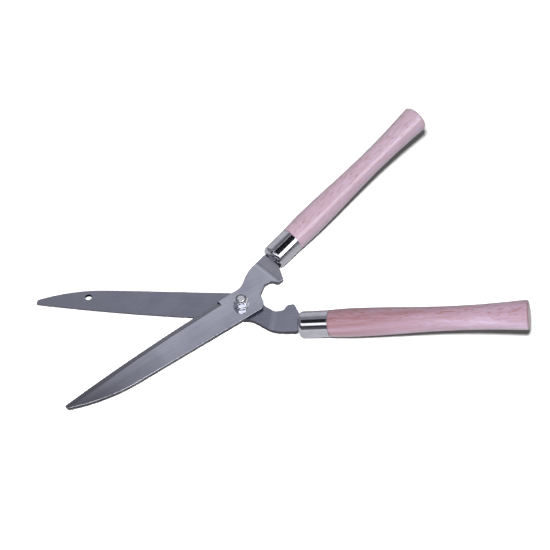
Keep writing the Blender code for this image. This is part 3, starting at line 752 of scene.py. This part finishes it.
def handle_profile(side):
    """Outline of a handle: from the middle of its butt along the grip, round the spigot and into the bore."""
    rings = rings_of(side + "_handle", side)
    ferrule_end = rings_of(side + "_ferrule", side)[-1][0]
    bore = min(rings[0][1])
    bore_end = max(height for height, radii in rings if abs(max(radii) - bore) < SAME)
    grip = [(max(radii), height) for height, radii in rings if height > ferrule_end and height != bore_end]
    spigot = [(max(radii), height) for height, radii in rings if height < ferrule_end]
    waist = min(grip[:-1])
    belly = max(ring for ring in grip if ring[1] < waist[1])
    neck = grip[0]
    neck_edge = grip[1][1] - neck[1]
    butt_edge = max(grip)[0] - grip[-1][0]
    flare = (max(grip)[0] - ROUND_ALLOWANCE, grip[-1][1] - butt_edge)
    profile = [(0.0, grip[-1][1])] + arc(flare[0] - butt_edge, flare[1], butt_edge, 90, 0)
    for step in range(1, RINGS_PER_STRETCH):
        share = 1.0 - step / RINGS_PER_STRETCH
        radius = waist[0] + (flare[0] - waist[0]) * (1.0 - math.cos(math.pi / 2 * share))
        profile.append((radius, waist[1] + (flare[1] - waist[1]) * share))
    for step in range(RINGS_PER_STRETCH + 1):
        share = step / RINGS_PER_STRETCH
        profile.append((eased(waist[0], belly[0], share), waist[1] + (belly[1] - waist[1]) * share))
    shoulder = (grip[1][0], neck[1] + neck_edge)
    for step in range(1, RINGS_PER_STRETCH // 2):
        share = step / (RINGS_PER_STRETCH // 2)
        profile.append((eased(belly[0], shoulder[0], share), belly[1] + (shoulder[1] - belly[1]) * share))
    profile += arc(shoulder[0] - neck_edge, shoulder[1], neck_edge, 0, -90)
    profile += [(spigot[-1][0], neck[1])] + spigot[::-1]
    return profile + [(bore, spigot[0][1]), (bore, bore_end), (0.0, bore_end)]


for side in SIDES:
    profile = handle_profile(side)
    name = side + "_handle_turned"
    stick = turned(name, profile, PLACES[side], BEECH[side])
    settle(stick, name, BODIES[side], side + "_handle")
    print(side, "handle: greatest radius", round(max(profile)[0] / MM, 2), "mm")

# %% [markdown]
# ## Ferrules
#
# A ferrule is a cup drawn from thin sheet, so its front edge is a smooth quarter round and its wall is the
# same all over. The tang goes through a slot in its flat front. The cup is turned like the handle, and a
# Boolean with a block cuts the slot, with the block's size read from the slot in the solid. Rings close to
# both ends of the straight wall keep its shading truly straight, because a mirror shows every bend of it.

# %% Ferrule cups
LIP = 0.25 * MM
WALL_RINGS = (0.985, 0.75, 0.5, 0.25, 0.015)
FRONT_RIM = 0.5 * MM
SLOT_REACH = 3.0 * MM


def ferrule_profile(side):
    """Outline of the cup: from its open rim over the outside to the front, and back along the inside."""
    rings = rings_of(side + "_ferrule", side)
    length, rim = rings[-1]
    outer = max(rim)
    wall = outer - min(rim)
    edge = next(height for height, radii in rings if max(radii) > outer - MERGE)
    profile = arc(outer - LIP, length - LIP, LIP, 90, 0, steps=4)
    profile += [(outer, edge + (length - LIP - edge) * share) for share in WALL_RINGS]
    profile += arc(outer - edge, edge, edge, 0, -90, steps=20)
    profile += [(outer - edge - LIP, 0.0), (0.0, 0.0), (0.0, wall)]
    profile += arc(outer - edge, edge, edge - wall, -90, 0)
    return profile + [(outer - wall, length), profile[0]]


def slot_block(side):
    """A block as wide and high as the tang's slot, standing through the front of the cup."""
    spots = [PLACES[side].inverted() @ point for point in points_of(side + "_ferrule")]
    front = [spot for spot in spots if abs(spot.z) < SAME]
    reach = max(math.hypot(spot.x, spot.y) for spot in front)
    corners = [spot for spot in front if math.hypot(spot.x, spot.y) < reach - FRONT_RIM]
    size = Vector((max(spot.x for spot in corners), max(spot.y for spot in corners), SLOT_REACH)) * 2
    shape = bmesh.new()
    bmesh.ops.create_cube(shape, size=1.0, matrix=PLACES[side] @ Matrix.Diagonal((*size, 1.0)))
    mesh = bpy.data.meshes.new(side + "_slot")
    shape.to_mesh(mesh)
    shape.free()
    return bpy.data.objects.new(side + "_slot", mesh)


for side in SIDES:
    name = side + "_ferrule_drawn"
    cup = turned(name, ferrule_profile(side), PLACES[side], CHROME)
    block = slot_block(side)
    scene.collection.objects.link(block)
    slot = cup.modifiers.new("tang slot", "BOOLEAN")
    slot.object = block
    settle(cup, name, BODIES[side], side + "_ferrule")
    bpy.data.objects.remove(block)

# %% [markdown]
# ## Dressing the other solids
#
# The stamped halves and the pivot's hardware already have their true shape as solids. They could be drawn
# again, but a copy is truer: it is merged into one skin, its flat faces are joined, and a fine rounding runs
# along every corner, because real steel never ends in a perfect corner and it is the rounding that catches
# the light. A Bevel modifier reads from each edge how much of the rounding it gets. Edges round a very low
# upright face, called a land, get a small share, so that two roundings can't meet on it. So do the edges of
# the step at a blade's heel, which is up to three lands high, and the rounding narrows to the same share
# towards the tips.

# %% Dressing a solid
FLAT_LIMIT = math.radians(0.5)
SIDE_SLOPE = math.cos(math.radians(60.0))
LAND_SHARE = 0.25
LANDS_IN_STEP = 3.0
TIP_FADE = 30.0 * MM


def is_low(face, height):
    """Whether a face is upright and lower than a height."""
    levels = [corner.co.z for corner in face.verts]
    return abs(face.normal.z) < SIDE_SLOPE and max(levels) - min(levels) < height


def rounding_share(edge, land):
    """How much of the full rounding an edge gets: less beside lands of a height, and towards the tips."""
    beside = {face for end in edge.verts for face in end.link_faces}
    if any(is_low(face, land) for face in beside):
        return LAND_SHARE
    if any(is_low(face, LANDS_IN_STEP * land) for face in edge.link_faces):
        return LAND_SHARE
    from_tip = (edge.verts[0].co.x + edge.verts[1].co.x) / 2 - cad_low.x
    return max(LAND_SHARE, min(1.0, from_tip / TIP_FADE))


def dressed(node, name, materials, pick, rounding, land=0.0):
    """A merged copy of a solid with a picked finish for each face and rounded corners in the last finish."""
    mesh = frame["nodes"][node].data.copy()
    mesh.materials.clear()
    for material in materials:
        mesh.materials.append(material)
    if "custom_normal" in mesh.attributes:
        mesh.attributes.remove(mesh.attributes["custom_normal"])
    shape = bmesh.new()
    shape.from_mesh(mesh)
    bmesh.ops.remove_doubles(shape, verts=shape.verts, dist=MERGE)
    bmesh.ops.dissolve_limit(shape, angle_limit=FLAT_LIMIT, verts=shape.verts, edges=shape.edges)
    for face in shape.faces:
        face.material_index = pick(face)
    weights = shape.edges.layers.float.new("bevel_weight_edge")
    for edge in shape.edges:
        if edge.calc_face_angle(0.0) > CRISP:
            edge[weights] = rounding_share(edge, land)
    shape.to_mesh(mesh)
    shape.free()
    tidy_faces(mesh)
    rough = bpy.data.objects.new(name + "_rough", mesh)
    corner = rough.modifiers.new("rounding", "BEVEL")
    corner.width = rounding
    corner.segments = 2
    corner.limit_method = "WEIGHT"
    corner.use_clamp_overlap = land == 0.0
    corner.material = len(materials) - 1
    shading = rough.modifiers.new("shading", "WEIGHTED_NORMAL")
    shading.keep_sharp = True
    return rough


print("flat faces join below", round(math.degrees(FLAT_LIMIT), 2), "degrees")

# %% [markdown]
# ## Blades
#
# Each half is one plate, so its finishes meet along its corners, and a face takes its finish from its slope. The
# plate's sides stand upright, the cutting bevel leans a good deal more than the cranked arm does, the bend before
# the arm leans less, and the rest is flat. The upper blade turns its spine to the camera. Its corners are drawn
# rounder, so that the bright line along them, partly a painted glint, is wide enough to show.

# %% Blades
BEVEL_SLOPE = math.cos(math.radians(16.0))
ARM_SLOPE = math.cos(math.radians(13.5))
FLAT_SLOPE = math.cos(math.radians(0.5))
BLADE_ROUNDING = {"upper": 0.60 * MM, "lower": 0.25 * MM}
LOW_LAND = 1.0 * MM


def blade_finish(face):
    """Place in the list of steel finishes of the one that suits a face's slope."""
    level = abs(face.normal.z)
    if level < SIDE_SLOPE:
        finish = "sheared_side_and_painted_shadow"
    elif level < BEVEL_SLOPE:
        finish = "wheel_ground_bevel"
    elif level < ARM_SLOPE:
        finish = "cranked_arm_and_painted_light"
    elif level < FLAT_SLOPE:
        finish = "bend_painted_highlight"
    else:
        finish = "belt_ground_steel"
    return list(STEEL_FINISHES).index(finish)


for side in SIDES:
    name = side + "_blade_ground"
    half = dressed(side + "_blade", name, STEEL[side], blade_finish, BLADE_ROUNDING[side], LOW_LAND)
    settle(half, name, BODIES[side], side + "_blade")

# %% [markdown]
# ## Pivot hardware
#
# A bolt, a washer and a lock nut with its nylon ring hold the halves together, and all four stay with the
# lower half. Each has one finish all over, so only the rounding differs: a punched washer has the roundest
# edges, and a moulded ring the finest.

# %% Pivot hardware
for node, name, material, slot, rounding in (
        ("pivot_bolt", "pivot_bolt_headed", ZINC, "fastener_steel", 0.20 * MM),
        ("pivot_washer", "pivot_washer_punched", ZINC, "fastener_steel", 0.35 * MM),
        ("pivot_nut", "pivot_nut_forged", ZINC, "fastener_steel", 0.15 * MM),
        ("nut_insert", "nut_insert_moulded", NYLON, "insert_nylon", 0.10 * MM)):
    hardware = dressed(node, name, [material], lambda face: 0, rounding)
    settle(hardware, name, BODIES["lower"], node)
